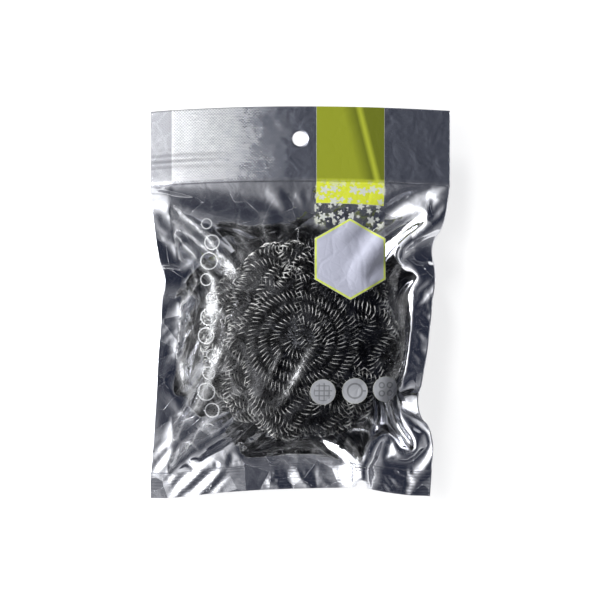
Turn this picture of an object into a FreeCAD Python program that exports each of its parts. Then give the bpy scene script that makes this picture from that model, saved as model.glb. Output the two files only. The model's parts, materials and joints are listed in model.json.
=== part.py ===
"""Stainless-steel pot scrubber sealed in a flat hang bag, lying on its back.

Millimetres. +Z is up out of the bag's front, +Y points at the hang hole, and the
origin is on the table under the middle of the bag. The scrubber is one long curly
wire wound round the Z axis. The bag is a clear front film heat-sealed to a foil
back film, with a header above the pouch and a narrow seal below it.
"""
import FreeCAD
import Part
import math
import os

from FreeCAD import Vector

# Bag sizes
film = 0.2                   # thickness of one film
header_height = 30.0         # sealed area above the pouch
bottom_seal_height = 10.0
side_seal_width = 7.0
side_draw_in = 4.0           # how far the full pouch pulls each side in at mid-length
pouch_corner = 5.0           # radius of the pouch's corners in the seal plane
seal_level = 13.0            # height of the plane where the two films are sealed
fold_gap = 0.8               # crease between the pouch and each flap that folds
hang_hole_diameter = 6.0
hang_hole_drop = 13.0        # from the header's top edge to the hole's centre

# Scrubber sizes
scrubber_diameter = 84.0
scrubber_thickness = 30.0
scrubber_travel = 6.0        # how far the scrubber can be pushed towards the header
fullness = 2.5               # exponent of its profile: 2 is an ellipse, more is fuller
coil_diameter = 5.0          # outside of the curly wire's curls
coil_gap = 0.8               # between neighbouring loops and layers
loose_gap = 1.6              # between the loops of the middle layer
eye_radius = 7.0             # middle of the first loop round the open eye
back_eye_radius = 5.0        # the same on the back
wire_diameter = 0.5
curl_pitch = 1.65            # from curl to curl along the loops
rosette_curls = 96           # curls modelled on the front loops round the eye

# Fits of the bag round the scrubber
side_room = 7.0              # from the scrubber to each drawn-in side seal
head_room = 21.5             # from the scrubber to the header
end_room = 9.5               # from the scrubber to the bottom seal
rest_clearance = 0.4         # between scrubber and film, above and below
shoulder_gap = 1.3           # between scrubber and front film above mid-height
belly_gap = 2.0              # between scrubber and back film below mid-height
crown_flat = 24.0            # width of the flat patch on top of the front film
foot_width = 40.0            # width of the flat patch that the bag lies on
round_share = 0.85           # corner radius of a rounded section, as a share of its half-width
round_bow = 0.3              # how far a rounded section's sides bow out
seal_lip = 0.6               # width of the edge on which the two films meet
tent_lift = 4.0              # the front film's slack section above the seal plane
tent_sink = 2.5              # the back film's slack section below it
tent_side_room = 1.0         # from the scrubber to the slack section's sides
tent_head_room = 8.5         # from the scrubber, pushed up, to its end at the header
tent_end_room = 3.0          # from the scrubber to its end at the bottom seal
tent_corner = 12.0           # radius of its corners
tent_side_bow = 2.0          # how far its sides bow out
tent_end_bow = 4.0           # how far its ends bow out

# Sizes and places that follow
scrubber_radius = scrubber_diameter / 2
scrubber_half = scrubber_thickness / 2
pouch_half_width = scrubber_radius + side_room + side_draw_in
pouch_half_length = scrubber_radius + (head_room + end_room) / 2
bag_width = 2 * (pouch_half_width + side_seal_width)
half_length = pouch_half_length + (header_height + bottom_seal_height) / 2
pouch_high = half_length - header_height
pouch_low = -half_length + bottom_seal_height
pouch_mid = (pouch_high + pouch_low) / 2
wall = film * math.sqrt(2)   # a sloping film's thickness, measured level
scrubber_y = pouch_low + end_room + scrubber_radius
scrubber_low = scrubber_y - scrubber_radius
scrubber_high = scrubber_y + scrubber_radius + scrubber_travel
scrubber_z = film + rest_clearance + scrubber_half
dome_y = scrubber_y + scrubber_travel / 2
dome_top = scrubber_z + scrubber_half + rest_clearance + film
layer_depth = coil_diameter + coil_gap

# Shares of a height at which the films' sections lie
dome_rises = (0.4, 0.6, 0.8, 0.92)       # of the dome's height over the scrubber's middle
dish_sinks = (0.6, 0.8)                  # of the dish's depth under the scrubber's middle

# Numerical steps
meridian_steps = 2000        # steps along a layer's profile from pole to pole
winding_knots = 4            # biarcs in one loop of a winding
curl_knots = 2               # biarcs in one curl
gap_samples = 24             # points in one loop or curl when a gap is measured
in_line = 1e-6               # three points are in line if their cross product is smaller


def arc(start, middle, end):
    """An arc through three points, or a straight edge where they are in line."""
    if (middle - start).cross(end - middle).Length < in_line:
        return Part.LineSegment(start, end).toShape()
    return Part.Arc(start, middle, end).toShape()


def section(half_x, low, high, corner, side_bow, end_bow, z):
    """Closed outline with round corners, whose sides and ends bow out to half_x, low and high."""
    half_y = (high - low) / 2
    x_out, y_out = half_x - side_bow, half_y - end_bow
    x_in, y_in = x_out - corner, y_out - corner
    x_mid = x_in + corner * math.sqrt(0.5)
    y_mid = y_in + corner * math.sqrt(0.5)

    def edge(*points):
        return arc(*(Vector(x, (low + high) / 2 + y, z) for x, y in points))

    return Part.Wire([
        edge((-x_in, -y_out), (0, -half_y), (x_in, -y_out)),
        edge((x_in, -y_out), (x_mid, -y_mid), (x_out, -y_in)),
        edge((x_out, -y_in), (half_x, 0), (x_out, y_in)),
        edge((x_out, y_in), (x_mid, y_mid), (x_in, y_out)),
        edge((x_in, y_out), (0, half_y), (-x_in, y_out)),
        edge((-x_in, y_out), (-x_mid, y_mid), (-x_out, y_in)),
        edge((-x_out, y_in), (-half_x, 0), (-x_out, -y_in)),
        edge((-x_out, -y_in), (-x_mid, -y_mid), (-x_in, -y_out)),
    ])


def pouch_outline(inset, z):
    """The pouch's edge in the seal plane, inside which the two films part."""
    return section(pouch_half_width - side_draw_in - inset, pouch_low + inset, pouch_high - inset,
                   pouch_corner - inset, -side_draw_in, 0, z)


def tent_outline(inset, z):
    """The slack film between the seal and the scrubber: wide at the pouch's corners."""
    return section(scrubber_radius + tent_side_room - inset, scrubber_low - tent_end_room + inset,
                   scrubber_high + tent_head_room - inset, tent_corner - inset,
                   tent_side_bow, tent_end_bow, z)


def round_outline(half_x, inset, z):
    """A rounded section over the scrubber, longer along Y by the scrubber's travel."""
    across = half_x - inset
    along = across + scrubber_travel / 2
    return section(across + round_bow, dome_y - along, dome_y + along, across * round_share,
                   round_bow, 0, z)


def scrubber_reach(rise):
    """Radius of the scrubber at a height above its middle, as a share of its half thickness."""
    return scrubber_radius * (1 - rise ** fullness) ** (1 / fullness)


def front_film():
    """Clear film: a slack tent from the seal plane, drawn up over the scrubber."""
    def dome(lip, inset, drop):
        sections = [pouch_outline(lip, seal_level), tent_outline(inset, seal_level + tent_lift - drop)]
        for rise in dome_rises:
            level = scrubber_z + rise * (dome_top - scrubber_z) - drop
            sections.append(round_outline(scrubber_reach(rise) + shoulder_gap, inset, level))
        sections.append(round_outline(crown_flat / 2, inset, dome_top - drop))
        return Part.makeLoft(sections, True, True)

    return dome(0, 0, 0).cut(dome(seal_lip, wall, film))


def back_film():
    """Foil film: slack below the seal plane, then a dish under the scrubber with a flat foot."""
    def dish(lip, inset, lift):
        sections = [pouch_outline(lip, seal_level), tent_outline(inset, seal_level - tent_sink + lift)]
        for sink in dish_sinks:
            level = scrubber_z * (1 - sink) + lift
            sections.append(round_outline(scrubber_reach(sink) + belly_gap, inset, level))
        sections.append(round_outline(foot_width / 2, inset, lift))
        return Part.makeLoft(sections, True, True)

    return dish(0, 0, 0).cut(dish(seal_lip, wall, film))


def ply_bottom(is_front):
    """Height of a sealed ply's lower face: the front ply lies on the back ply."""
    return seal_level if is_front else seal_level - film


def side_seal(side, is_front):
    """One ply of a side seal, from the pouch's edge to the bag's. side is -1 left, 1 right."""
    z = ply_bottom(is_front)
    edge = side * bag_width / 2
    high = Vector(edge, pouch_high, z)
    low = Vector(edge, pouch_low, z)
    drawn_in = Vector(edge - side * side_draw_in, pouch_mid, z)
    inner_high = Vector(0, pouch_high, z)
    inner_low = Vector(0, pouch_low, z)
    outline = Part.Wire([
        arc(low, drawn_in, high),
        Part.LineSegment(high, inner_high).toShape(),
        Part.LineSegment(inner_high, inner_low).toShape(),
        Part.LineSegment(inner_low, low).toShape(),
    ])
    half_bag = Part.Face(outline).extrude(Vector(0, 0, film))
    pouch = Part.Face(pouch_outline(0, z)).extrude(Vector(0, 0, film))
    return half_bag.cut(pouch)


def header_ply(is_front):
    """One ply of the header, with the punched hang hole."""
    height = header_height - fold_gap
    corner = Vector(-bag_width / 2, pouch_high + fold_gap, ply_bottom(is_front))
    sheet = Part.makeBox(bag_width, height, film, corner)
    centre = Vector(0, half_length - hang_hole_drop, ply_bottom(is_front))
    return sheet.cut(Part.makeCylinder(hang_hole_diameter / 2, film, centre))


def bottom_seal_ply(is_front):
    """One ply of the seal below the pouch."""
    corner = Vector(-bag_width / 2, -half_length, ply_bottom(is_front))
    return Part.makeBox(bag_width, bottom_seal_height - fold_gap, film, corner)


class Layer:
    """A wound layer: loops of the curly wire along a rounded profile from pole to pole."""

    def __init__(self, depth, gap):
        """depth counts the layers from the outside, and gap is left between its loops."""
        sunk = coil_diameter / 2 + depth * layer_depth
        self.pitch = coil_diameter + gap
        self.radius = scrubber_radius - sunk
        self.half = scrubber_half - sunk
        self.profile = [(0.0, 0.0, self.half)]
        for step in range(1, meridian_steps + 1):
            angle = math.pi * step / meridian_steps
            r = self.radius * math.sin(angle) ** (2 / fullness)
            z = self.half * math.copysign(abs(math.cos(angle)) ** (2 / fullness), math.cos(angle))
            length, r_before, z_before = self.profile[-1]
            self.profile.append((length + math.hypot(r - r_before, z - z_before), r, z))

    def length_at(self, radius, on_back=False):
        """Distance along the profile from the front pole to a radius."""
        points = reversed(self.profile) if on_back else self.profile
        return next(length for length, r, z in points if r >= radius)

    def at(self, length):
        """(radius, height) at a distance along the profile from the front pole."""
        low, high = 0, len(self.profile) - 1
        while high - low > 1:
            middle = (low + high) // 2
            if self.profile[middle][0] <= length:
                low = middle
            else:
                high = middle
        before, r0, z0 = self.profile[low]
        after, r1, z1 = self.profile[high]
        share = (length - before) / (after - before)
        return r0 + share * (r1 - r0), z0 + share * (z1 - z0)

    def point(self, start, turns):
        """Point on the spiral after some turns, from a distance start along the profile."""
        r, z = self.at(start + turns * self.pitch)
        angle = 2 * math.pi * turns
        return Vector(r * math.cos(angle), scrubber_y + r * math.sin(angle), scrubber_z + z)


def tangent(curve, t, step=1e-4):
    return (curve(t + step) - curve(t - step)).normalize()


def arc_from(start, direction, end):
    """The arc that leaves start in a direction and ends at end."""
    chord = end - start
    along = chord * (direction.dot(chord) / chord.dot(chord))
    across = (direction - along).normalize()
    angle = direction.getAngle(chord)
    middle = start + chord * 0.5 + across * (chord.Length / 2 * math.tan(angle / 2))
    return arc(start, middle, end)


def biarc_path(curve, first, last, count):
    """A smooth wire of count biarcs through a curve of one parameter."""
    knots = [first + (last - first) * i / count for i in range(count + 1)]
    edges = []
    for t0, t1 in zip(knots, knots[1:]):
        p0, p1 = curve(t0), curve(t1)
        d0, d1 = tangent(curve, t0), tangent(curve, t1)
        chord = p1 - p0
        ahead = chord.dot(d0 + d1)
        spread = 2 * (1 - d0.dot(d1))
        reach = (math.sqrt(ahead * ahead + spread * chord.dot(chord)) - ahead) / spread
        joint = (p0 + d0 * reach + p1 - d1 * reach) * 0.5
        edges.append(arc_from(p0, d0, joint))
        edges.append(arc_from(joint, (p1 - d1 * reach - joint).normalize(), p1))
    return Part.Wire(edges)


def tube(path, diameter, start, direction):
    profile = Part.Wire([Part.Circle(start, direction, diameter / 2).toShape()])
    shell = Part.BRepOffsetAPI.MakePipeShell(path)
    shell.add(profile)
    shell.build()
    shell.makeSolid()
    return shell.shape()


def least_gap(curve, first, last, loop, diameter):
    """Least gap of a tube to itself, measured on points at least half a loop apart."""
    count = max(2, round((last - first) / loop * gap_samples))
    points = [curve(first + (last - first) * i / count) for i in range(count + 1)]
    apart = gap_samples // 2
    reach = 2 * gap_samples
    nearest = math.inf
    for i, point in enumerate(points):
        for other in points[i + apart:i + apart + reach]:
            nearest = min(nearest, point.distanceToPoint(other))
    return nearest - diameter


def wound_tube(name, curve, first, last, loop, knots, diameter):
    """Sweeps a tube along a curve and prints its length, volume and least gap to itself."""
    count = math.ceil((last - first) / loop * knots)
    path = biarc_path(curve, first, last, count)
    solid = tube(path, diameter, curve(first), tangent(curve, first))
    plain = math.pi * diameter ** 2 / 4 * path.Length
    gap = least_gap(curve, first, last, loop, diameter)
    print(f"{name}: {(last - first) / loop:.1f} loops, {path.Length:.0f} mm long, "
          f"volume {solid.Volume / plain:.3f} of section times length, least gap {gap:.2f} mm")
    return solid


def rosette_turns(curls):
    """Turns round the eye after some curls, which are evenly spaced along a flat spiral."""
    pitch = coil_diameter + coil_gap
    return (math.sqrt(eye_radius ** 2 + pitch * curls * curl_pitch / math.pi) - eye_radius) / pitch


def rosette():
    """The front loops round the eye, as the curly wire itself."""
    layer = Layer(0, coil_gap)
    start = layer.length_at(eye_radius)
    curl_radius = (coil_diameter - wire_diameter) / 2

    def axis(turns):
        return layer.point(start, turns)

    def wire(curls):
        turns = rosette_turns(curls)
        centre = axis(turns)
        ahead = tangent(axis, turns)
        outward = (centre - Vector(0, scrubber_y, centre.z)).normalize()
        side = (outward - ahead * outward.dot(ahead)).normalize()
        up = ahead.cross(side)
        angle = 2 * math.pi * curls
        return centre + (side * math.cos(angle) + up * math.sin(angle)) * curl_radius

    return wound_tube("front_rosette", wire, 0, rosette_curls, 1, curl_knots, wire_diameter)


def winding(name, layer, first_turn, end_radius):
    """Loops of one layer as one fat tube, from some turns after the front eye to the back eye."""
    start = layer.length_at(eye_radius)
    end = layer.length_at(end_radius, on_back=True)
    last_turn = (end - start) / layer.pitch
    return wound_tube(name, lambda turns: layer.point(start, turns), first_turn, last_turn, 1,
                      winding_knots, coil_diameter)


def outer_winding():
    """The outer layer, from the rosette over the rim to the back eye."""
    first_turn = rosette_turns(rosette_curls + coil_gap / curl_pitch)
    return winding("outer_winding", Layer(0, coil_gap), first_turn, back_eye_radius)


def middle_winding():
    """The layer under the outer one."""
    return winding("middle_winding", Layer(1, loose_gap), 0, eye_radius)


def core_winding():
    """The packed loops in the middle, as one plain lens."""
    layer = Layer(2, coil_gap)
    radius = layer.radius + coil_diameter / 2
    half = layer.half + coil_diameter / 2
    squeeze = FreeCAD.Matrix()
    squeeze.scale(1, 1, half / radius)
    lens = Part.makeSphere(radius).transformGeometry(squeeze)
    lens.translate(Vector(0, scrubber_y, scrubber_z))
    return lens


def pieces():
    """Every piece by its node's name."""
    made = {
        "front_film": front_film(),
        "back_film": back_film(),
        "front_rosette": rosette(),
        "outer_winding": outer_winding(),
        "middle_winding": middle_winding(),
        "core_winding": core_winding(),
    }
    for face, is_front in (("front", True), ("back", False)):
        made[f"header_{face}_ply"] = header_ply(is_front)
        made[f"bottom_seal_{face}_ply"] = bottom_seal_ply(is_front)
        for name, side in (("left", -1), ("right", 1)):
            made[f"{name}_seal_{face}_ply"] = side_seal(side, is_front)
    return made


os.makedirs("parts", exist_ok=True)
for node, shape in pieces().items():
    print(f"{node}: valid {shape.isValid()}, {len(shape.Solids)} solid, {shape.Volume:.1f} mm3")
    shape.exportStep(f"parts/{node}.step")
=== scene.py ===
"""Looks of the pot scrubber in its hang bag.

The two films are drawn over the ball by a small cloth solver and welded along their seals.
The ball is curly flat wire, laid along wound paths by geometry nodes."""
import json
import math

import bpy
import numpy as np
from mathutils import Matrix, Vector


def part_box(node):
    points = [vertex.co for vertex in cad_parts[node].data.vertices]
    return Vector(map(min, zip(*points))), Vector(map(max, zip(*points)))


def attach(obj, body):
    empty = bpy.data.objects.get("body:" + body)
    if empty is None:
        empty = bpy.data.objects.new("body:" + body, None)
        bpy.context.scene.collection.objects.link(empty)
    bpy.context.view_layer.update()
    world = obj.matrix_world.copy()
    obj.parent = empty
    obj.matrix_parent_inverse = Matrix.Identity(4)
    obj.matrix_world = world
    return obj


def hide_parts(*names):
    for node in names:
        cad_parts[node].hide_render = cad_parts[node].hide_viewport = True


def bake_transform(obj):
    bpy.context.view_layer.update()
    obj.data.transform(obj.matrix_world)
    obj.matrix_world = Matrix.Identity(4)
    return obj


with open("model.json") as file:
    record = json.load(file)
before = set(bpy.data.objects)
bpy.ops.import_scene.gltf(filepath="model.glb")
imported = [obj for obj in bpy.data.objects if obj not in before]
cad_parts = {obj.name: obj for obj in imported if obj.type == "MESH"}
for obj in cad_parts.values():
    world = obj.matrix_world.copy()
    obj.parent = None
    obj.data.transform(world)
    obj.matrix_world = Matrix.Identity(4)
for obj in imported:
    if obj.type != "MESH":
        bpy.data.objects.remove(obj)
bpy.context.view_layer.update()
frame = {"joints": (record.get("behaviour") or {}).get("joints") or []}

MM = 0.001

# Film grid, in steps of STEP millimetres: rows run from the bottom edge to the header's top edge.
STEP = 1.25
COLUMNS, ROWS = 97, 130
HEADER_ROWS, BOTTOM_ROWS, SIDE_COLUMNS = 24, 8, 6
JOINTS = {joint["name"]: joint for joint in frame["joints"]}
HEADER_FOLD = [value / MM for value in JOINTS["header_fold"]["pos_m"]]
SEAL_LEVEL = HEADER_FOLD[2]
HEADER_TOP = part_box("header_front_ply")[1][1] / MM
HOLE_PLACE, HOLE_RADIUS = (0.0, 64.5), 3.0
FILM_THICKNESS = 0.1

# Links between the film's points: rows and columns apart, stiffness. In the seals: points apart, stiffness.
FILM_LINKS = ((0, 1, 1.0), (1, 0, 1.0), (1, 1, 0.5), (1, -1, 0.5),
              (0, 2, 0.25), (2, 0, 0.25), (0, 4, 0.1), (4, 0, 0.1))
SEAL_LINKS = ((5, 0.4), (12, 0.5), (20, 0.3))
DAMPING = 0.93
GROWING_SHARE = 0.6

# How firmly the seals keep their level, a fold that stands in the bottom seal, and the places where
# handling pushed the seals up or down: across, along, size and height in mm, extra grip.
HOLD = 0.008
FOLD_AT = 29.0
PINCHES = (
    (-60, 6, 7, 7.0, 0), (FOLD_AT, -78, 6.5, 11.0, 0.15), (60, 20, 8, -4.0, 0),
    (-60, -40, 10, 4.0, 0), (60, -45, 9, 4.0, 0), (-62, -82, 22, -4.0, 0))

# The bottom corners, pulled to one side by the fold: their columns and their shift in mm.
CORNERS = ((slice(0, 8), (-0.5, 4.0)), (slice(-8, None), (-7.5, 5.5)))
CORNER_GRIP = 0.04

# The film lies calm near the header, from this height up over this length, and crumpled below.
CALM_AT, CALM_LENGTH = 43, 14

# The print, in millimetres: the lime band's sides on the flat film, and the other marks as seen from the
# front. The rings stand in a column: its place across, its top and foot, and the step between rings.
BAND = (6.6, 33.8)
BAND_END_SEEN = (20, 38.2)
BADGE = (19.8, 16.2)
DISCS = ((9.0, -36.2), (21.6, -35.8), (33.8, -35.2))
RING_COLUMN = (-36, 34, -50, 7.4)

# The ball, and the room that it shifts in.
WOUND = [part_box(node) for node in ("front_rosette", "outer_winding")]
BALL_LOW = np.min([low for low, high in WOUND], 0) / MM
BALL_HIGH = np.max([high for low, high in WOUND], 0) / MM
BALL_RADIUS = (BALL_HIGH[0] - BALL_LOW[0]) / 2
BALL_HALF = (BALL_HIGH[2] - BALL_LOW[2]) / 2
BALL_MIDDLE = (BALL_LOW + BALL_HIGH) / 2
TRAVEL = JOINTS["scrubber_shift"]["range_m"][1] / MM
FULLNESS = 2.5
RIM_ROOM = 0.7
START_THICKNESS, FACE_ROOM = 0.6, 0.3
FLOOR_ROOM = 0.2
PATH_STEP = 0.8


class Socket:
    """A node socket that takes part in plain arithmetic."""

    def __init__(self, nodes, socket):
        self.nodes = nodes
        self.socket = socket

    def maths(self, operation, *others):
        return self.nodes.add("ShaderNodeMath", self, *others, settings={"operation": operation})

    def __add__(self, other):
        return self.maths("ADD", other)

    def __sub__(self, other):
        return self.maths("SUBTRACT", other)

    def __mul__(self, other):
        return self.maths("MULTIPLY", other)

    def __truediv__(self, other):
        return self.maths("DIVIDE", other)

    def __pow__(self, other):
        return self.maths("POWER", other)

    def __rsub__(self, other):
        return self * -1 + other

    def __rtruediv__(self, other):
        return self ** -1 * other

    def __abs__(self):
        return self.maths("ABSOLUTE")

    __radd__ = __add__
    __rmul__ = __mul__


class Nodes:
    """A node tree to which any node is added, its inputs given in order or by name."""

    def __init__(self, tree):
        self.tree = tree

    def add(self, kind, *inputs, output=0, settings=None, **named):
        node = self.tree.nodes.new(kind)
        for key, value in (settings or {}).items():
            setattr(node, key, value)
        sockets = [socket for socket in node.inputs if socket.enabled]
        pairs = list(zip(sockets, inputs))
        pairs += [(node.inputs[name.replace("_", " ")], value) for name, value in named.items()]
        for socket, value in pairs:
            self.join(socket, value)
        outputs = [socket for socket in node.outputs if socket.enabled]
        return Socket(self, outputs[output] if isinstance(output, int) else node.outputs[output])

    def join(self, socket, value):
        if isinstance(value, Socket):
            self.tree.links.new(value.socket, socket)
        elif value is not None:
            socket.default_value = value

    def vector(self, operation, *inputs):
        return self.add("ShaderNodeVectorMath", *inputs, settings={"operation": operation})

    def scaled(self, vector, factor):
        return self.add("ShaderNodeVectorMath", vector, settings={"operation": "SCALE"}, Scale=factor)

    def above(self, value, edge, blur=0.12):
        """1 where value is over edge, 0 under it, with a soft step of the given half width."""
        return self.add("ShaderNodeMapRange", value, edge - blur, edge + blur, 0.0, 1.0)

    def between(self, value, low, high, blur=0.12):
        return self.above(value, low, blur) * (1 - self.above(value, high, blur))

    def mix(self, factor, first, second):
        return self.add("ShaderNodeMix", factor, first, second, settings={"data_type": "RGBA"})


class Finish(Nodes):
    """A procedural material on one Principled shader."""

    def __init__(self, name, **constants):
        self.material = bpy.data.materials.new(name)
        self.material.use_nodes = True
        super().__init__(self.material.node_tree)
        self.shader = self.tree.nodes["Principled BSDF"]
        self.feed(**constants)

    def feed(self, **inputs):
        for name, value in inputs.items():
            self.join(self.shader.inputs[name.replace("_", " ")], value)

    def film_place(self, attribute):
        """A place kept with the film, in millimetres: the whole of it, across and along."""
        place = self.add("ShaderNodeAttribute", output="Vector", settings={"attribute_name": attribute})
        across = self.add("ShaderNodeSeparateXYZ", place, output="X")
        along = self.add("ShaderNodeSeparateXYZ", place, output="Y")
        return place, across, along


def colour(red, green, blue):
    """A colour as it looks on a screen, 0 to 255, as linear light."""
    values = [value / 255 for value in (red, green, blue)]
    linear = [v / 12.92 if v <= 0.04045 else ((v + 0.055) / 1.055) ** 2.4 for v in values]
    return (*linear, 1.0)


# The films
def linked(points, rows, columns):
    """Pairs of slices that lie some rows and columns apart; no point is twice in one pair."""
    height, width = points.shape[1:3]
    near_columns = slice(max(0, -columns), width - max(0, columns))
    far_columns = slice(max(0, columns), width - max(0, -columns))
    if rows:
        for phase in range(2 * rows):
            far = points[:, phase + rows::2 * rows, far_columns]
            near = points[:, phase::2 * rows, near_columns][:, :far.shape[1]]
            yield near, far
    else:
        for phase in range(2 * columns):
            far = points[:, :, phase + columns::2 * columns]
            near = points[:, :, phase::2 * columns][:, :, :far.shape[2]]
            yield near, far


def relax(near, far, rest, stiffness):
    """Moves each pair of points towards its rest distance."""
    gap = far - near
    length = np.sqrt(np.einsum("...i,...i", gap, gap))
    gap *= (0.5 * stiffness * (1 - rest / np.maximum(length, 1e-6)))[..., None]
    near += gap
    far -= gap


def flat_sheet():
    """Places of the film's points on the flat sheet; the header already lies where it ends up."""
    across = (np.arange(COLUMNS) - (COLUMNS - 1) / 2) * STEP
    along = HEADER_TOP - (ROWS - 1 - np.arange(ROWS)) * STEP
    return np.stack(np.meshgrid(across, along), -1)


def header_form(flat):
    """The header's shape: bowed in its plane, its left half falling away, small folds at its left."""
    across, along = flat[..., 0], flat[..., 1]
    left = np.maximum(0, -across - 4) / 56
    fold = np.exp(-((along - 57) / 4.5) ** 2) * np.clip((-across - 22) / 20, 0, 1)
    strip = np.maximum(0, -across - 51.5)
    height = SEAL_LEVEL - 5 * left ** 2 + 0.45 * fold * np.sin((along - 57) * 1.3) - 0.12 * strip
    return np.stack([across, along - 0.0005 * across ** 2, height], -1)


def bumps(random, flat, count, size, height):
    """Random soft bumps over the sheet, as left by handling."""
    total = np.zeros(flat.shape[:2])
    for _ in range(count):
        place = random.uniform(flat.min((0, 1)), flat.max((0, 1)))
        spread = size * random.uniform(0.6, 1.5)
        distance = np.sum((flat - place) ** 2, -1)
        total += random.normal(0, height) * np.exp(-distance / spread ** 2)
    return total


def drawn_films(flat, frames, sweeps=4):
    """Both films drawn over the growing ball, [film, row, column, xyz] in millimetres."""
    random = np.random.default_rng(3)
    inside = np.zeros((ROWS, COLUMNS), bool)
    inside[BOTTOM_ROWS + 1:ROWS - HEADER_ROWS - 1, SIDE_COLUMNS + 1:COLUMNS - SIDE_COLUMNS - 1] = True
    sealed = ~inside
    header = slice(ROWS - HEADER_ROWS - 1, ROWS)
    points = np.zeros((2, ROWS, COLUMNS, 3), np.float32)
    points[..., :2] = flat
    level = np.full((ROWS, COLUMNS), SEAL_LEVEL)
    hold = np.full((ROWS, COLUMNS), HOLD, np.float32)
    for across, along, size, height, grip in PINCHES:
        nearness = np.exp(-np.sum((flat - (across, along)) ** 2, -1) / size ** 2)
        level += height * nearness
        hold += grip * nearness
    slack = np.ones(points.shape[:3], np.float32)
    crumpled = np.clip((CALM_AT - flat[..., 1]) / CALM_LENGTH, 0.1, 1)
    for film, room in zip(points, slack):
        swell = bumps(random, flat, 60, 11, 2.0) * inside + random.normal(0, 0.1, level.shape)
        film[..., 2] = level + swell * crumpled
        room += (bumps(random, flat, 70, 12, 0.02) + bumps(random, flat, 260, 5, 0.015)) * crumpled
    before = points.copy()
    links = []
    whole = slice(None)
    foot = slice(0, BOTTOM_ROWS + 1)
    fold = round(FOLD_AT / STEP) + COLUMNS // 2
    flats = (slice(0, fold - 4), slice(fold + 5, None))
    left = slice(0, SIDE_COLUMNS + 1)
    right = slice(COLUMNS - SIDE_COLUMNS - 1, None)
    span, stiffness = SEAL_LINKS[0]
    regions = [(whole, whole, *link) for link in FILM_LINKS]
    regions += [(foot, flats[0], 0, *link) for link in SEAL_LINKS]
    regions += [(foot, flats[1], 0, *link) for link in SEAL_LINKS[:2]]
    regions += [(whole, edge, span, 0, stiffness) for edge in (left, right)]
    for row_range, column_range, rows, columns, stiffness in regions:
        pairs = linked(points[:, row_range, column_range], rows, columns)
        rooms = linked(slack[:, row_range, column_range], rows, columns)
        for (near, far), (near_room, far_room) in zip(pairs, rooms):
            rest = (near_room + far_room) * np.float32(math.hypot(rows, columns) * STEP / 2)
            links.append((near, far, rest, np.float32(stiffness)))
    side = np.array([1, -1], np.float32)[:, None, None]
    top = header_form(flat[header]).astype(np.float32)
    ball_y = BALL_MIDDLE[1] + TRAVEL / 2
    for step in range(frames):
        grown = min(1.0, step / (GROWING_SHARE * frames))
        velocity = (points - before) * np.float32(DAMPING)
        before[:] = points
        points += velocity
        thick = START_THICKNESS + (BALL_HALF - FACE_ROOM) * grown
        middle = SEAL_LEVEL + (BALL_MIDDLE[2] - SEAL_LEVEL) * grown
        for _ in range(sweeps):
            for link in links:
                relax(*link)
            mean = points.mean(0)
            mean[..., 2] += (level - mean[..., 2]) * hold
            for columns_held, shift in CORNERS:
                corner = mean[foot, columns_held, :2]
                corner += (flat[foot, columns_held] + shift - corner) * np.float32(CORNER_GRIP) * grown
            points[:, sealed] = mean[sealed]
            away = np.maximum(np.abs(points[..., 1] - ball_y) - TRAVEL / 2, 0)
            share = np.hypot(points[..., 0], away) / (BALL_RADIUS + RIM_ROOM)
            reach = np.maximum(0, 1 - np.minimum(share, 1) ** FULLNESS) ** (1 / FULLNESS)
            height = (points[..., 2] - middle) * side
            lift = np.where((share < 1) & inside, np.maximum(0, thick * reach - height), 0)
            points[..., 2] += lift * side
            np.maximum(points[..., 2], FLOOR_ROOM, out=points[..., 2])
            points[:, header] = top
    return points.astype(float)


def refined(points):
    """Points of a grid with smooth ones added halfway, along rows and then along columns."""
    for axis in (0, 1):
        points = np.moveaxis(points, axis, 0)
        before = np.concatenate([2 * points[:1] - points[1:2], points[:-2]])
        after = np.concatenate([points[2:], 2 * points[-1:] - points[-2:-1]])
        halfway = (9 * (points[:-1] + points[1:]) - before - after) / 16
        dense = np.empty((2 * len(points) - 1, *points.shape[1:]))
        dense[::2] = points
        dense[1::2] = halfway
        points = np.moveaxis(dense, 0, axis)
    return points


def plain_mesh(piece):
    """Turns a piece and its modifiers into a plain mesh."""
    evaluated = piece.evaluated_get(bpy.context.evaluated_depsgraph_get())
    mesh = bpy.data.meshes.new_from_object(evaluated)
    piece.modifiers.clear()
    piece.data = mesh
    mesh.name = piece.name
    return piece


def new_piece(name, places, edges, faces, finish):
    mesh = bpy.data.meshes.new(name)
    mesh.from_pydata(places.tolist(), edges, faces)
    mesh.materials.append(finish.material)
    piece = bpy.data.objects.new(name, mesh)
    bpy.context.scene.collection.objects.link(piece)
    return piece


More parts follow.
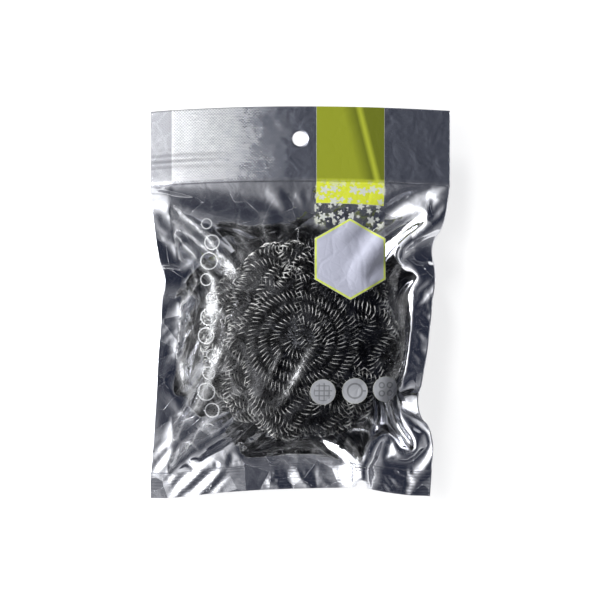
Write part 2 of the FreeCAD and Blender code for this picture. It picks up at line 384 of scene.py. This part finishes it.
def film_piece(name, points, flat, outward, finish, hole=None, ribs=None):
    """A thin shell over a grid of film points (mm), with its flat places, and a round hole if asked."""
    rows, columns = flat.shape[:2]
    index = np.arange(rows * columns).reshape(rows, columns)
    quads = np.stack([index[:-1, :-1], index[:-1, 1:], index[1:, 1:], index[1:, :-1]], -1).reshape(-1, 4)
    points = points.copy().reshape(-1, 3)
    flat = flat.copy().reshape(-1, 2)
    if hole:
        spacing = abs(flat[1, 0] - flat[0, 0])
        nearest = flat[np.argmin(np.hypot(*(flat - hole).T))]
        gap = flat - nearest
        ring = np.abs(gap).max(1)
        rim = 5 * spacing
        share = np.clip((ring - rim) / rim, 0, 1)[:, None]
        direction = gap / np.maximum(np.hypot(*gap.T), 1e-6)[:, None]
        rounded = np.array(hole) + direction * (HOLE_RADIUS + ring - rim)[:, None]
        move = (rounded - flat) * (1 - share)
        flat += move
        points[:, :2] += move
        quads = quads[ring[quads].max(1) > rim + 0.01]
    if outward < 0:
        quads = quads[:, ::-1]
    used, quads = np.unique(quads, return_inverse=True)
    piece = new_piece(name, points[used] * MM, [], quads.reshape(-1, 4).tolist(), finish)
    for kept_as, places in (("flat_mm", flat), ("seen_mm", points[:, :2])):
        attribute = piece.data.attributes.new(kept_as, "FLOAT_VECTOR", "POINT")
        vectors = np.c_[places[used], np.zeros(len(used))].astype(np.float32)
        attribute.data.foreach_set("vector", vectors.ravel())
    piece.data.polygons.foreach_set("use_smooth", np.ones(len(piece.data.polygons), bool))
    if ribs:
        pressed = piece.modifiers.new("ribs", "NODES")
        pressed.node_group = ribs
    shell = piece.modifiers.new("shell", "SOLIDIFY")
    shell.thickness = FILM_THICKNESS * MM
    shell.offset = 1.6
    shell.use_quality_normals = True
    return plain_mesh(piece)


def rib_tree(finish, pitch, depth):
    """Geometry nodes that press ribs into a film, across its flat length."""
    tree = bpy.data.node_groups.new("pressed_ribs", "GeometryNodeTree")
    nodes = Nodes(tree)
    tree.interface.new_socket("Geometry", in_out="INPUT", socket_type="NodeSocketGeometry")
    for name, value in (("Pitch", pitch), ("Depth", depth * MM)):
        socket = tree.interface.new_socket(name, in_out="INPUT", socket_type="NodeSocketFloat")
        socket.default_value = value
    tree.interface.new_socket("Geometry", in_out="OUTPUT", socket_type="NodeSocketGeometry")
    given = tree.nodes.new("NodeGroupInput")
    film, spacing, height = (Socket(nodes, socket) for socket in given.outputs[:3])
    place = nodes.add("GeometryNodeInputNamedAttribute", "flat_mm", settings={"data_type": "FLOAT_VECTOR"})
    along = nodes.add("ShaderNodeSeparateXYZ", place, output="Y")
    wave = (along * math.tau / spacing).maths("SINE") * height
    normal = nodes.add("GeometryNodeInputNormal")
    offset = nodes.scaled(normal, wave)
    pressed = nodes.add("GeometryNodeSetPosition", film, Offset=offset)
    whole = nodes.add("GeometryNodeRealizeInstances", pressed)
    done = nodes.add("GeometryNodeSetMaterial", whole, Material=finish.material)
    result = tree.nodes.new("NodeGroupOutput")
    nodes.join(result.inputs[0], done)
    return tree


# The ball
def meridian(depth, count=2000):
    """The ball's half profile from the front eye over the rim to the back, some depth inside it."""
    turn = np.linspace(0, math.pi, count)
    radius = (BALL_RADIUS - depth) * np.abs(np.sin(turn)) ** (2 / FULLNESS)
    height = (BALL_HALF - depth) * np.sign(np.cos(turn)) * np.abs(np.cos(turn)) ** (2 / FULLNESS)
    return radius, height


def waves(random, along, height, lengths):
    """Waves of random heights and phases along a path, added up."""
    return sum(random.normal(0, height) * np.sin(along / length + random.uniform(0, 6)) for length in lengths)


def wound_path(depth, first, last, spacing, wander, seed):
    """A path wound round the ball from one radius in front to another one behind, in millimetres."""
    random = np.random.default_rng(seed)
    radius, height = meridian(depth)
    length = np.concatenate([[0], np.cumsum(np.hypot(np.diff(radius), np.diff(height)))])
    rim = np.argmax(radius)
    start = np.interp(first, radius[:rim], length[:rim])
    if last < 0:
        end = np.interp(-last, radius[:rim:-1], length[:rim:-1])
    else:
        end = np.interp(last, radius[:rim], length[:rim])
    places = [start]
    angles = [random.uniform(0, math.tau)]
    while places[-1] < end:
        here = max(np.interp(places[-1], length, radius), 2.0)
        turn = PATH_STEP / here
        angles.append(angles[-1] + turn)
        places.append(places[-1] + spacing * turn / math.tau)
    places = np.array(places)
    angles = np.array(angles)
    along = np.arange(len(places)) * PATH_STEP
    strength = wander * np.clip((np.interp(places, length, radius) - 16) / 10, 0.12, 1)
    sway = waves(random, along, 0.5, (3, 5, 8, 13))
    dip = waves(random, along, 0.3, (4, 7, 11))
    places = np.clip(places + sway * strength, 0, length[-1])
    around = np.interp(places, length, radius)
    level = np.interp(places, length, height)
    inward = 1 - np.clip(np.abs(dip), 0, 2) * strength / (BALL_HALF + 4)
    path = np.stack([around * np.cos(angles), around * np.sin(angles), level], -1) * inward[:, None]
    return path + BALL_MIDDLE


def stray_path(depth, seed):
    """A short loose end that strays over the ball's face, in millimetres."""
    random = np.random.default_rng(seed)
    angle = random.uniform(0, math.tau)
    place = random.uniform(22, 37) * np.array([math.cos(angle), math.sin(angle)])
    heading = random.uniform(0, math.tau)
    face = 1 if seed % 3 else -1
    path = []
    for _ in range(int(random.uniform(18, 50))):
        heading += random.normal(0, 0.22)
        place = place + 0.9 * np.array([math.cos(heading), math.sin(heading)])
        share = min(np.hypot(*place) / (BALL_RADIUS - depth - 1), 0.97)
        place *= min(1, 0.97 * (BALL_RADIUS - depth - 1) / max(np.hypot(*place), 1e-6))
        height = (BALL_HALF - depth - 1) * (1 - share ** FULLNESS) ** (1 / FULLNESS)
        path.append((*place, face * height))
    return np.array(path) + BALL_MIDDLE


def wire_tree(finish):
    """Geometry nodes that lay a flat, curled wire along a path, and keep a mask of its curl tops for a
    painted highlight.
    """
    tree = bpy.data.node_groups.new("curly_wire", "GeometryNodeTree")
    nodes = Nodes(tree)
    tree.interface.new_socket("Geometry", in_out="INPUT", socket_type="NodeSocketGeometry")
    for name in (
            "Pitch", "Curl points", "Curl radius", "Unevenness", "Lean",
            "Width", "Thickness", "Seed", "Shine"):
        tree.interface.new_socket(name, in_out="INPUT", socket_type="NodeSocketFloat")
    tree.interface.new_socket("Geometry", in_out="OUTPUT", socket_type="NodeSocketGeometry")
    given = tree.nodes.new("NodeGroupInput")
    path, pitch, points, radius, uneven, lean, width, thickness, seed, painted_highlight = (
        Socket(nodes, socket) for socket in given.outputs[:10])
    curve = nodes.add("GeometryNodeMeshToCurve", path)
    curve = nodes.add("GeometryNodeResampleCurve", curve, settings={"mode": "LENGTH"}, Length=pitch / points)
    normal = nodes.add("GeometryNodeInputNormal")
    tangent = nodes.add("GeometryNodeInputTangent")
    side = nodes.vector("CROSS_PRODUCT", tangent, normal)
    place = nodes.add("GeometryNodeInputPosition")
    coarse = nodes.add("ShaderNodeTexNoise", settings={"noise_dimensions": "4D"},
                       Vector=place, W=seed, Scale=170.0, Detail=1.0)
    jitter = nodes.add("ShaderNodeTexNoise", output="Color", settings={"noise_dimensions": "4D"},
                       Vector=place, W=seed + 7, Scale=420.0, Detail=1.0)
    index = nodes.add("GeometryNodeInputIndex")
    angle = index * math.tau / points + coarse * 5
    outward = nodes.vector(
        "ADD", nodes.scaled(normal, angle.maths("COSINE")), nodes.scaled(side, angle.maths("SINE")))
    reach = radius * (1 + uneven * (coarse - 0.5) * 2)
    shake = nodes.vector("SUBTRACT", jitter, (0.5, 0.5, 0.5))
    from_middle = nodes.vector("SUBTRACT", place, tuple(BALL_MIDDLE * MM))
    steep = nodes.vector("MULTIPLY", from_middle, (1, 1, (BALL_RADIUS / BALL_HALF) ** 2))
    skyward = nodes.vector("NORMALIZE", steep)
    crest = nodes.vector("DOT_PRODUCT", outward, skyward)
    sideways = nodes.vector("DOT_PRODUCT", outward, nodes.vector("CROSS_PRODUCT", tangent, skyward))
    offset = nodes.vector("ADD", nodes.scaled(outward, reach), nodes.scaled(shake, radius * uneven * 1.6))
    offset = nodes.vector("ADD", offset, nodes.scaled(tangent, sideways * radius * lean))
    kept = nodes.add("GeometryNodeStoreNamedAttribute", curve, settings={"data_type": "FLOAT_VECTOR"},
                     Name="outward", Value=outward)
    # Stores a mask of each curl's outward-facing top, where the steel finish paints a highlight; the layer's
    # last input sets its strength.
    kept = nodes.add("GeometryNodeStoreNamedAttribute", kept, Name="crest",
                     Value=nodes.above(crest, 0.74, 0.2) * painted_highlight)
    curled = nodes.add("GeometryNodeSetPosition", kept, Offset=offset)
    facing = nodes.add("GeometryNodeInputNamedAttribute", "outward", settings={"data_type": "FLOAT_VECTOR"})
    curled = nodes.add("GeometryNodeSetCurveNormal", curled, settings={"mode": "FREE"}, Normal=facing)
    ribbon = nodes.add("GeometryNodeCurvePrimitiveQuadrilateral", width, thickness)
    wire = nodes.add("GeometryNodeCurveToMesh", curled, ribbon, Fill_Caps=True)
    whole = nodes.add("GeometryNodeRealizeInstances", wire)
    done = nodes.add("GeometryNodeSetMaterial", whole, Material=finish.material)
    result = tree.nodes.new("NodeGroupOutput")
    nodes.join(result.inputs[0], done)
    return tree


def wire_piece(name, paths, tree, finish, **values):
    """Curly wire laid along each of the paths (mm)."""
    counts = np.cumsum([0] + [len(path) for path in paths])
    edges = [(a, a + 1) for k, path in enumerate(paths) for a in range(counts[k], counts[k + 1] - 1)]
    piece = new_piece(name, np.concatenate(paths) * MM, edges, [], finish)
    curls = piece.modifiers.new("curls", "NODES")
    curls.node_group = tree
    names = {item.name: item.identifier for item in tree.interface.items_tree if item.in_out == "INPUT"}
    for key, value in values.items():
        curls[names[key.replace("_", " ")]] = float(value)
    plain_mesh(piece)
    piece.data.shade_smooth()
    for mark in ("sharp_edge", "sharp_face"):
        if mark in piece.data.attributes:
            piece.data.attributes.remove(piece.data.attributes[mark])
    return piece


# The finishes
def far(x, y):
    """The length of a step x, y."""
    return (x * x + y * y) ** 0.5


def printed_lime(finish, across, along):
    """The lime band's colour: darker at its right, with a light streak, yellower below the header."""
    slant = across + along * 0.25
    dark_side = finish.above(slant, 38.5, 2.5)
    streak = finish.between(slant, 42.0, 44.0, 0.8)
    below = 1 - finish.above(along, HEADER_FOLD[1] + 0.5, 1.0)
    lime = finish.mix(dark_side * 0.8, colour(138, 146, 36), colour(86, 94, 18))
    lime = finish.mix(streak * 0.6, lime, colour(190, 198, 60))
    return finish.mix(below, lime, colour(196, 204, 58))


def printed_stars(finish, place, across, along, band_end):
    """Five-pointed stars of many sizes, scattered over the band's lower end."""
    cell = {"Vector": place, "Scale": 0.26, "Randomness": 0.7}
    centre = finish.add("ShaderNodeTexVoronoi", output="Position", **cell)
    shade = finish.add("ShaderNodeTexVoronoi", output="Color", **cell)
    from_centre = finish.vector("SUBTRACT", place, centre)
    star_x = finish.add("ShaderNodeSeparateXYZ", from_centre, output="X")
    star_y = finish.add("ShaderNodeSeparateXYZ", from_centre, output="Y")
    points = (star_y.maths("ARCTAN2", star_x) * 5).maths("COSINE") * 0.34 + 1
    size = finish.add("ShaderNodeSeparateColor", shade) * 1.5 + 0.3
    zone = finish.between(across, *BAND, 1.0) * finish.between(along, band_end - 9, band_end + 9, 2.0)
    return finish.above(size * points - far(star_x, star_y), 0.0, 0.08) * zone


def printed_discs(finish, seen_x, seen_y):
    """Round marks and the plain patterns on them: a grid, a ring with a handle, four rings."""
    discs = 0.0
    patterns = 0.0
    for number, (centre_x, centre_y) in enumerate(DISCS):
        from_x = seen_x - centre_x
        from_y = seen_y - centre_y
        distance = far(from_x, from_y)
        disc = 1 - finish.above(distance, 5.0)
        discs = disc + discs
        if number == 0:
            lines = (from_x * 3.2).maths("SINE").maths("MAXIMUM", (from_y * 3.2).maths("SINE"))
            pattern = finish.above(lines, 0.75, 0.1) * (1 - finish.above(distance, 3.6))
        elif number == 1:
            handle = finish.between(from_x, 2.8, 4.4) * finish.between(from_y, -0.3, 0.3)
            pattern = finish.between(distance, 2.5, 3.2) + handle
        else:
            from_corner = far(abs(from_x) - 1.6, abs(from_y) - 1.6)
            pattern = finish.between(from_corner, 0.75, 1.25)
        patterns = pattern * disc + patterns
    return discs, patterns


def printed_rings(finish, seen_x, seen_y):
    """A column of plain rings of changing size, a little to and fro."""
    across, top, foot, step = RING_COLUMN
    turn = ((seen_y - top) / step).maths("FLOOR")
    ring_x = seen_x - across - (turn * 2.1).maths("SINE") * 1.3
    ring_y = seen_y - top - turn * step - step / 2
    radius = (turn * 1.7).maths("SINE") * 0.7 + 2.9
    line = finish.between(far(ring_x, ring_y) - radius, -0.45, 0.0)
    return line * finish.between(seen_y, foot, top)


def clear_finish(band_end):
    """Clear glossy film with its printing: a lime band, a bare badge, three discs and rings."""
    finish = Finish("clear_film")
    place, across, along = finish.film_place("flat_mm")
    seen_x, seen_y = finish.film_place("seen_mm")[1:]
    band = finish.between(across, *BAND) * finish.above(along, band_end)
    stars = printed_stars(finish, place, across, along, band_end)
    badge_x = abs(seen_x - BADGE[0])
    badge_y = abs(seen_y - BADGE[1])
    hexagon = badge_x.maths("MAXIMUM", badge_x * 0.5 + badge_y * 0.866)
    card = 1 - finish.above(hexagon, 14.0)
    edge = finish.between(hexagon, 13.2, 14.0)
    discs, patterns = printed_discs(finish, seen_x, seen_y)
    rings = printed_rings(finish, seen_x, seen_y)
    tint = printed_lime(finish, across, along)
    for mask, paint in (
            (stars, colour(190, 194, 186)), (card, colour(180, 182, 199)), (edge, colour(205, 220, 60)),
            (discs, colour(150, 152, 158)), (patterns, colour(60, 62, 68)), (rings, colour(176, 180, 190))):
        tint = finish.mix(mask, tint, paint)
    ink = band
    for mask, cover in ((stars, 0.8), (card, 0.93), (discs, 0.8), (rings, 0.42)):
        ink = ink.maths("MAXIMUM", mask * cover)
    facing = finish.add("ShaderNodeLayerWeight", 0.5, output="Facing")
    edge_of = {"settings": {"feature": "DISTANCE_TO_EDGE"}, "Vector": place}
    wide = finish.add("ShaderNodeTexVoronoi", Scale=0.12, **edge_of)
    narrow = finish.add("ShaderNodeTexVoronoi", Scale=0.3, **edge_of)
    loose = 1 - finish.above(along, HEADER_FOLD[1] + 1.0, 1.0) * 0.8
    creases = (wide.maths("MINIMUM", 0.12) * 3 + narrow.maths("MINIMUM", 0.15)) * loose
    grain = finish.add("ShaderNodeTexNoise", Vector=place, Scale=0.09, Detail=2.0)
    patches = finish.add("ShaderNodeTexNoise", Vector=place, Scale=0.075, Detail=3.0, Distortion=0.8)
    haze = finish.above(patches, 0.6, 0.08) * 0.06
    fold_lines = (1 - finish.above(wide, 0.05, 0.05)) * 0.03
    gloss = facing ** 5 * 0.55 + fold_lines + haze + 0.014
    bump = finish.add("ShaderNodeBump", Height=grain * 0.5 + creases, Strength=0.5, Distance=0.5 * MM)
    finish.feed(
        Base_Color=finish.mix(ink, (0.96, 0.97, 1.0, 1.0), tint),
        Metallic=1 - (ink * 4).maths("MINIMUM", 1),
        Roughness=ink * 0.25 + 0.06,
        Alpha=gloss.maths("MAXIMUM", ink),
        Normal=bump)
    return finish


def foil_finish():
    """Metallised film: mirror bright, crumpled in facets, brushed and woven where it is sealed; its header's
    colour is painted pale at the left and darker blue-grey at the right, a painted reflection.
    """
    finish = Finish("foil_film", Metallic=1.0)
    place, across, along = finish.film_place("flat_mm")
    header = finish.above(along, HEADER_FOLD[1] + 1.0, 1.0)
    strip = (1 - finish.above(across, -51.5, 0.2)) * header
    cell = {"Vector": place, "Scale": 0.11, "Randomness": 1.0}
    centre = finish.add("ShaderNodeTexVoronoi", output="Position", **cell)
    shade = finish.add("ShaderNodeTexVoronoi", output="Color", **cell)
    lean = finish.vector("SUBTRACT", shade, (0.5, 0.5, 0.5))
    facet = finish.vector("DOT_PRODUCT", finish.vector("SUBTRACT", place, centre), lean)
    crumple = finish.add("ShaderNodeTexNoise", Vector=place, Scale=0.12, Detail=2.0, Distortion=0.6)
    weave = (across * 5.2).maths("SINE") * (along * 5.2).maths("SINE")
    brushed = finish.vector("MULTIPLY", place, (0.3, 1.5, 1.0))
    streaks = finish.add("ShaderNodeTexNoise", Vector=brushed, Scale=1.0, Detail=5.0, Roughness=0.75)
    patches = finish.add("ShaderNodeTexNoise", Vector=place, Scale=0.1, Detail=6.0, Roughness=0.7)
    speckle = (patches - 0.5) * 1.6 + (streaks - 0.5) * 0.9 + weave * 0.07
    # Mask of the header's painted reflection: pale towards the left with a speckled edge, darker towards the
    # right.
    bright = finish.above(speckle - across / 34, 0.5, 0.4)
    loose = 1 - finish.above(along, 38.0, 5.0)
    pressed = (weave * 0.05 + streaks * 0.16) * header * bright
    height = crumple * 0.4 + facet * 0.3 * loose + pressed
    bump = finish.add("ShaderNodeBump", Height=height, Strength=0.6, Distance=1.0 * MM)
    # On the pale side the colour carries the weave and brushed streaks as painted glitter; the same pattern
    # is also pressed in as a real bump.
    texture = (streaks - 0.5) * 2.4 + weave * 0.5 + 0.6
    woven = finish.mix(texture, colour(180, 181, 188), colour(253, 253, 254))
    # The header's right part gets a darker blue-grey colour, painted shade of a dark reflection.
    sealed = finish.mix(bright, colour(190, 194, 206), woven)
    tone = finish.mix(header, colour(228, 229, 234), sealed)
    finish.feed(
        Base_Color=finish.mix(strip, tone, colour(152, 153, 158)),
        Roughness=header * (bright * 0.2 + 0.03) + strip * 0.2 + 0.12,
        Normal=bump)
    return finish


def steel_finish():
    """Stainless wire with painted light: a dark colour stands in for the shade in its gaps, and a pale, less
    metallic colour paints a highlight on the crests of its curls, unevenly.
    """
    finish = Finish("steel_wire", Metallic=1.0)
    place = finish.add("ShaderNodeTexCoord", output="Object")
    stain = finish.add("ShaderNodeTexNoise", Vector=place, Scale=160.0, Detail=2.0)
    crest = finish.add("ShaderNodeAttribute", output="Fac", settings={"attribute_name": "crest"})
    glint = finish.add("ShaderNodeTexNoise", Vector=place, Scale=330.0, Detail=0.0)
    # Painted highlight: crests picked out by the noise get a pale colour and less metal, so they look lit
    # from any side; the rest keeps the dark colour of painted shade.
    bright = crest * finish.above(glint, 0.45, 0.2)
    finish.feed(
        Base_Color=finish.mix(bright, (0.035, 0.036, 0.033, 1.0), (0.97, 0.97, 0.95, 1.0)),
        Metallic=1 - bright * 0.85,
        Roughness=stain * 0.1 + 0.32)
    return finish


def softbox(name, place, width, height, power, mirrored):
    """A lamp that faces the object; it shows in the foil only if mirrored."""
    lamp = bpy.data.lights.new(name, "AREA")
    lamp.shape = "RECTANGLE"
    lamp.size = width
    lamp.size_y = height
    lamp.energy = power
    light = bpy.data.objects.new(name, lamp)
    light.location = place
    light.rotation_euler = (Vector((0, 0, 0.01)) - Vector(place)).to_track_quat("-Z", "Y").to_euler()
    light.visible_glossy = mirrored
    bpy.context.scene.collection.objects.link(light)


# The build
sheet = flat_sheet()
films = drawn_films(sheet, 450)
to_band_end = np.hypot(*np.moveaxis(films[0, ..., :2] - BAND_END_SEEN, -1, 0))
nearest = np.unravel_index(np.argmin(to_band_end), to_band_end.shape)
clear = clear_finish(band_end=sheet[nearest][1])
foil = foil_finish()
steel = steel_finish()

# Films, each in three stretches
RIB_PITCH, RIB_DEPTH = 1.25, 0.1
clear_ribs = rib_tree(clear, RIB_PITCH, RIB_DEPTH)
foil_ribs = rib_tree(foil, RIB_PITCH, RIB_DEPTH)
dense_sheet = refined(sheet)
crease = 2 * (ROWS - 1 - HEADER_ROWS)
foot = 2 * BOTTOM_ROWS
for film, side, outward, finish, ribs, slot_name in (
        (films[0], "front", 1, clear, clear_ribs, "clear_film"),
        (films[1], "back", -1, foil, foil_ribs, "foil_film")):
    dense = refined(film)
    pouch = film_piece(
        f"{side}_pouch_film", dense[foot:crease + 1], dense_sheet[foot:crease + 1], outward, finish)
    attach(pouch, "pouch")
    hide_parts(f"{side}_film", f"left_seal_{side}_ply", f"right_seal_{side}_ply")
    header = film_piece(
        f"{side}_header_film", dense[crease:], dense_sheet[crease:], outward, finish, hole=HOLE_PLACE)
    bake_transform(header)
    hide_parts(f"header_{side}_ply")
    bottom = film_piece(
        f"{side}_bottom_film", refined(dense[:foot + 1]), refined(dense_sheet[:foot + 1]), outward, finish,
        ribs=ribs)
    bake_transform(bottom)
    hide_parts(f"bottom_seal_{side}_ply")
    for piece, rows in ((pouch, crease - foot), (header, 2 * (ROWS - 1) - crease), (bottom, foot)):
        rows * STEP / 2 * MM

# Ball
tree = wire_tree(steel)
# The painted highlight is full on the outer wires and weak on the middle and core wires, so the inner wires
# are painted dark as shade for their depth.
ribbon = {"Width": 0.62 * MM, "Thickness": 0.14 * MM}
rosette = wire_piece(
    "rosette_wire", [wound_path(2.2, 5.0, 22, 4.7, 0.5, 1)], tree, steel,
    Pitch=1.7 * MM, Curl_points=14, Curl_radius=2.0 * MM,
    Unevenness=0.12, Lean=0.35, Seed=1, Shine=1, **ribbon)
strays = [stray_path(1.9, 70 + seed) for seed in range(26)]
outer = wire_piece(
    "outer_wire", [wound_path(3.0, 25, -6, 4.5, 3.2, 2)] + strays, tree, steel,
    Pitch=1.8 * MM, Curl_points=12, Curl_radius=1.8 * MM,
    Unevenness=0.45, Lean=0.3, Seed=2, Shine=1, **ribbon)
middle = wire_piece(
    "middle_wire", [wound_path(5.6, 4, -5, 4.4, 2.0, 3)], tree, steel,
    Pitch=1.9 * MM, Curl_points=10, Curl_radius=2.0 * MM,
    Unevenness=0.35, Lean=0.3, Seed=3, Shine=0.22, **ribbon)
core = wire_piece(
    "core_wire", [wound_path(9.0, 2, -2, 4.5, 1.0, 4)], tree, steel,
    Pitch=2.0 * MM, Curl_points=9, Curl_radius=2.1 * MM,
    Unevenness=0.3, Lean=0.2, Seed=4, Shine=0.05, **ribbon)
for piece, node in (
        (rosette, "front_rosette"), (outer, "outer_winding"),
        (middle, "middle_winding"), (core, "core_winding")):
    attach(piece, "scrubber")
    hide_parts(node)

# The stage
floor_finish = Finish("floor", Base_Color=(0.4, 0.4, 0.4, 1.0), Roughness=0.9, Emission_Strength=1.0)
seen = 0.0
for ray in ("Is Camera Ray", "Is Glossy Ray", "Is Transmission Ray"):
    seen = floor_finish.add("ShaderNodeLightPath", output=ray).maths("MAXIMUM", seen)
floor_finish.feed(Emission_Color=floor_finish.mix(seen, (0, 0, 0, 1), (0.74, 0.74, 0.74, 1)))
corners = np.array([(-2, -2, 0), (2, -2, 0), (2, 2, 0), (-2, 2, 0)])
floor = new_piece("floor", corners, [], [(0, 1, 2, 3)], floor_finish)

softbox("left_lamp", (-1.0, 0.15, 0.66), 0.4, 0.5, 4.5, True)
softbox("far_lamp", (-0.35, 1.0, 0.6), 0.25, 0.25, 8.0, False)

# Soft glows in the studio: compass direction (0 is +X, 90 is +Y), tilt from overhead, strength
GLOWS = (
    (180, 58, 3.2), (180, 85, 1.2), (135, 85, 0.9), (225, 85, 0.8),
    (0, 85, 0.35), (315, 85, 0.3), (135, 58, 0.4), (207, 50, 0.8))
GLOW_FOCUS = 8
DUSK = (0.014, 0.018, 0.036)
world = bpy.data.worlds.new("studio")
world.use_nodes = True
sky = Nodes(world.node_tree)
direction = sky.vector("NORMALIZE", sky.add("ShaderNodeTexCoord", output="Generated"))
glow = 0.0
for compass, tilt, strength in GLOWS:
    turn = math.radians(compass)
    lean = math.radians(tilt)
    toward = (math.sin(lean) * math.cos(turn), math.sin(lean) * math.sin(turn), math.cos(lean))
    match = sky.vector("DOT_PRODUCT", direction, toward)
    glow = ((match - 1) * GLOW_FOCUS).maths("EXPONENT") * strength + glow
backdrop = world.node_tree.nodes["Background"]
sky.join(backdrop.inputs["Color"], sky.vector("ADD", sky.add("ShaderNodeCombineXYZ", glow, glow, glow), DUSK))
bpy.context.scene.world = world

camera = bpy.data.objects.new("camera", bpy.data.cameras.new("camera"))
camera.location = (0, 0, 1.013)
camera.data.sensor_width = 36
camera.data.lens = 36 * 1.0 / 0.24
bpy.context.scene.collection.objects.link(camera)
bpy.context.scene.camera = camera
bpy.context.scene.view_settings.view_transform = "Standard"

bpy.context.view_layer.update()
